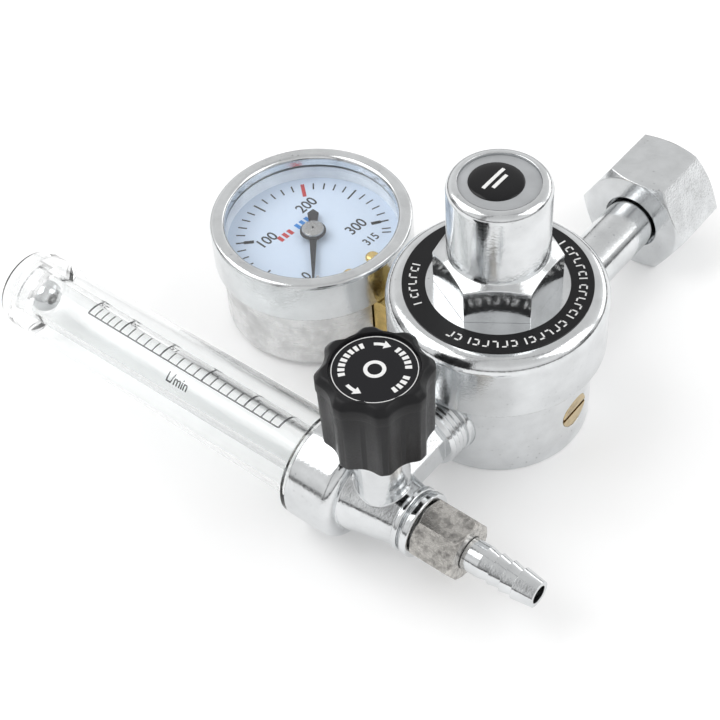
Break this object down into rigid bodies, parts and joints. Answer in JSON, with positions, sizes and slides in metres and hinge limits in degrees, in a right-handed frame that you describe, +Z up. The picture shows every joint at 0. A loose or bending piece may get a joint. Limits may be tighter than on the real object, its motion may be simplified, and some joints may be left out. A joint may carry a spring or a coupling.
{
  "type": "gas regulator",
  "caption": "Gas regulator with a side pressure gauge, a horizontal float-tube flowmeter with a needle-valve knob, a cylinder nut and a barbed hose outlet.",
  "frame": {"origin": "centre of the regulator body's round bottom face, which the regulator lies on", "axes": "+Z up the body, bonnet and spring cover; +Y along the inlet stem towards the cylinder; -X to the gauge; +X to the hose barb"},
  "size_m": [0.1859, 0.1682, 0.0853],
  "materials": {
    "plated": "bright zinc-nickel plating, fine turned marks",
    "label": "matt black printed foil",
    "cap_grey": "satin grey moulded disc",
    "badge": "glossy black domed resin",
    "rubber": "black nitrile rubber",
    "spring_steel": "drawn spring wire",
    "steel": "machined steel",
    "brass": "machined brass",
    "filter": "sintered bronze",
    "nut": "nickel-plated and scuffed",
    "case": "satin stainless sheet",
    "bezel": "polished rolled rim",
    "glass": "clear window",
    "clear": "clear acrylic",
    "clear_collar": "clear acrylic",
    "dial": "pale blue-white enamel with black ticks and numbers",
    "pale": "off-white moulding",
    "pointer": "black enamel with a bright hub",
    "nylon": "natural nylon",
    "ball": "dark polished ball",
    "knob": "fine textured black moulding",
    "knob_print": "glossy black disc with a white ring and arrow"
  },
  "bodies": {
    "regulator": {"regulator_body": "plated", "bonnet_ring": "plated", "label_ring": "label", "spring_cover": "plated", "cap_disc": "cap_grey", "cap_badge": "badge", "diaphragm": "rubber", "slip_ring": "nylon", "main_spring": "spring_steel", "valve_nozzle": "brass", "poppet_spring": "spring_steel", "relief_plug": "brass", "relief_spring": "spring_steel", "inlet_stem": "plated", "inlet_filter": "filter", "inlet_seal": "rubber", "gauge_case": "case", "gauge_bezel": "bezel", "gauge_glass": "glass", "dial_spacer": "pale", "gauge_dial": "dial", "dial_screws": "brass", "zero_stop": "steel", "movement_frame": "brass", "bourdon_tube": "brass", "gauge_socket": "brass", "gauge_seal": "nylon", "outlet_fitting": "plated", "flow_block": "plated", "outer_tube": "clear", "inner_tube": "clear", "tube_plug": "clear_collar", "float_seat": "nylon", "tube_seal": "rubber", "gland_nut": "nut", "outlet_seal": "nylon", "hose_barb": "plated"},
    "inlet_nut": {"inlet_nut": "plated"},
    "outlet_nut": {"outlet_nut": "nut"},
    "spindle": {"valve_spindle": "brass"},
    "knob": {"flow_knob": "knob", "knob_label": "knob_print", "knob_screw": "steel"},
    "pointer": {"gauge_pointer": "pointer"},
    "sector": {"sector_gear": "brass"},
    "float": {"float_ball": "ball"},
    "button": {"spring_button": "steel"},
    "set_screw": {"adjusting_screw": "brass"},
    "valve": {"valve_poppet": "brass", "diaphragm_plate": "steel"},
    "relief": {"relief_poppet": "rubber"}
  },
  "joints": [
    {"name": "inlet_nut_turn", "type": "hinge", "parent": "regulator", "child": "inlet_nut", "pos_m": [0, 0.0829, 0.016], "axis": [0, 1, 0], "continuous": true},
    {"name": "outlet_nut_turn", "type": "hinge", "parent": "regulator", "child": "outlet_nut", "pos_m": [0.0259, -0.058, 0.016], "axis": [1, 0, 0], "continuous": true},
    {"name": "spindle_rise", "type": "slide", "parent": "regulator", "child": "spindle", "axis": [0, 0, 1], "range_m": [0, 0.003]},
    {"name": "knob_turn", "type": "hinge", "parent": "spindle", "child": "knob", "pos_m": [0.0045, -0.058, 0.0576], "axis": [0, 0, 1], "range_deg": [0, 1080]},
    {"name": "pointer_turn", "type": "hinge", "parent": "regulator", "child": "pointer", "pos_m": [-0.0673, 0, 0.029], "axis": [0, 0, -1], "range_deg": [0, 270]},
    {"name": "sector_swing", "type": "hinge", "parent": "regulator", "child": "sector", "pos_m": [-0.0799, 0, 0.0145], "axis": [0, 0, -1], "range_deg": [-42, 0.5]},
    {"name": "float_rise", "type": "slide", "parent": "regulator", "child": "float", "axis": [1, 0, 0], "range_m": [0, 0.102]},
    {"name": "spring_button_slide", "type": "slide", "parent": "regulator", "child": "button", "axis": [0, 0, 1], "range_m": [0, 0.006], "deforming": ["main_spring"]},
    {"name": "set_screw_turn", "type": "hinge", "parent": "button", "child": "set_screw", "pos_m": [0, 0, 0.072], "axis": [0, 0, 1], "range_deg": [0, 1440]},
    {"name": "valve_open", "type": "slide", "parent": "regulator", "child": "valve", "axis": [0, 0, -1], "range_m": [0, 0.0008], "stiffness_N_per_m": 2000, "deforming": ["poppet_spring", "diaphragm"]},
    {"name": "relief_lift", "type": "slide", "parent": "regulator", "child": "relief", "axis": [1, 0, 0], "range_m": [0, 0.0012], "stiffness_N_per_m": 1500, "deforming": ["relief_spring"]}
  ],
  "couplings": [
    {"joint": "knob_turn", "follows": "spindle_rise", "rad_per_m": 6283.2},
    {"joint": "set_screw_turn", "follows": "spring_button_slide", "rad_per_m": 4188.8},
    {"joint": "sector_swing", "follows": "pointer_turn", "ratio": -0.14546}
  ]
}
